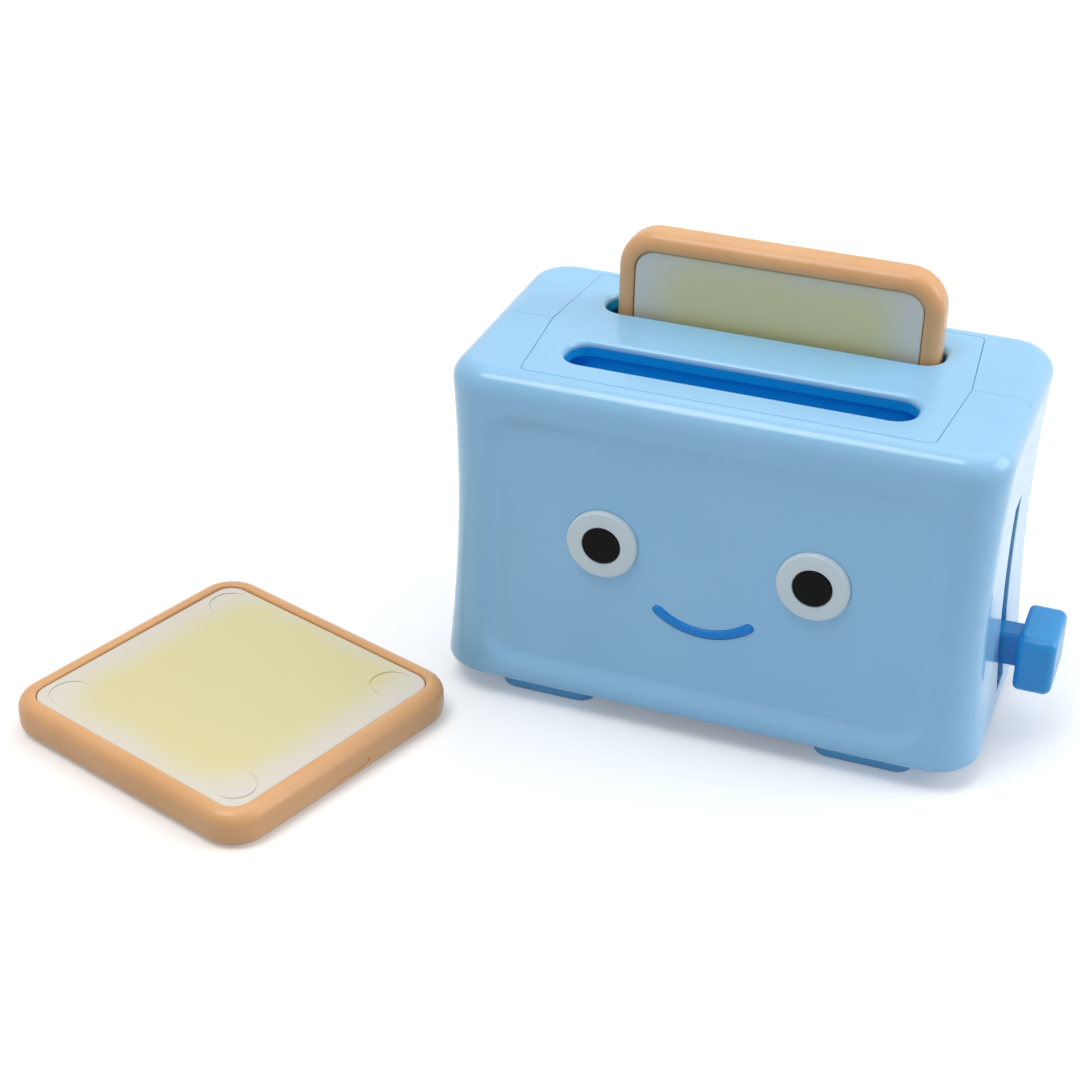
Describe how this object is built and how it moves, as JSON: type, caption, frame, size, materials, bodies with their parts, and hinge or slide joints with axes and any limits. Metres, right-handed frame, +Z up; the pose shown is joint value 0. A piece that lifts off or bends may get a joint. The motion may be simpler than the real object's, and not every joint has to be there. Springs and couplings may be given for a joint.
{
  "type": "toy toaster",
  "caption": "Small moulded toy toaster with open bread slots, a side lever that lifts a bread carriage inside, and square toy toast slices that lift out.",
  "frame": {"origin": "on the floor under the middle of the toaster's body, on the plane of its feet", "axes": "+Z up; the face looks along -Y; the lever stands out along +X"},
  "size_m": [0.1228, 0.0796, 0.0571],
  "materials": {
    "shell_blue": "glossy moulded ABS, light blue",
    "base_blue": "satin moulded ABS, mid blue",
    "lever_blue": "satin moulded ABS, deep blue",
    "eye_white": "glossy moulded ABS, cool white",
    "pupil_black": "glossy moulded ABS, black",
    "steel": "bright zinc-plated steel",
    "crust_tan": "satin moulded PVC, toast tan",
    "bread_face": "satin moulded PVC, off-white with a soft yellow airbrushed patch"
  },
  "bodies": {
    "toaster_body": {"front_shell": "shell_blue", "rear_shell": "shell_blue", "top_insert": "shell_blue", "base_plate": "base_blue", "foot_front_left": "base_blue", "foot_front_right": "base_blue", "foot_rear_left": "base_blue", "foot_rear_right": "base_blue", "bread_well_front": "lever_blue", "bread_well_rear": "lever_blue", "smile": "lever_blue", "guide_rod_left": "steel", "guide_rod_right": "steel", "case_screws": "steel", "eye_white_left": "eye_white", "eye_white_right": "eye_white", "eye_pupil_left": "pupil_black", "eye_pupil_right": "pupil_black"},
    "carriage": {"carriage": "lever_blue", "lever_arm": "lever_blue", "lever_pin": "steel", "lever_knob": "lever_blue"},
    "standing_slice": {"standing_slice_crust": "crust_tan", "standing_slice_front": "bread_face", "standing_slice_back": "bread_face"},
    "loose_slice": {"loose_slice_crust": "crust_tan", "loose_slice_front": "bread_face", "loose_slice_back": "bread_face"}
  },
  "joints": [
    {"name": "carriage_lift", "type": "slide", "parent": "toaster_body", "child": "carriage", "axis": [0, 0, 1], "range_m": [0, 0.017]},
    {"name": "standing_slice_lift", "type": "slide", "parent": "carriage", "child": "standing_slice", "axis": [0, 0, 1], "range_m": [0, 0.04]},
    {"name": "loose_slice_lift", "type": "slide", "parent": "toaster_body", "child": "loose_slice", "axis": [0, 0, 1], "range_m": [0, 0.03]}
  ]
}
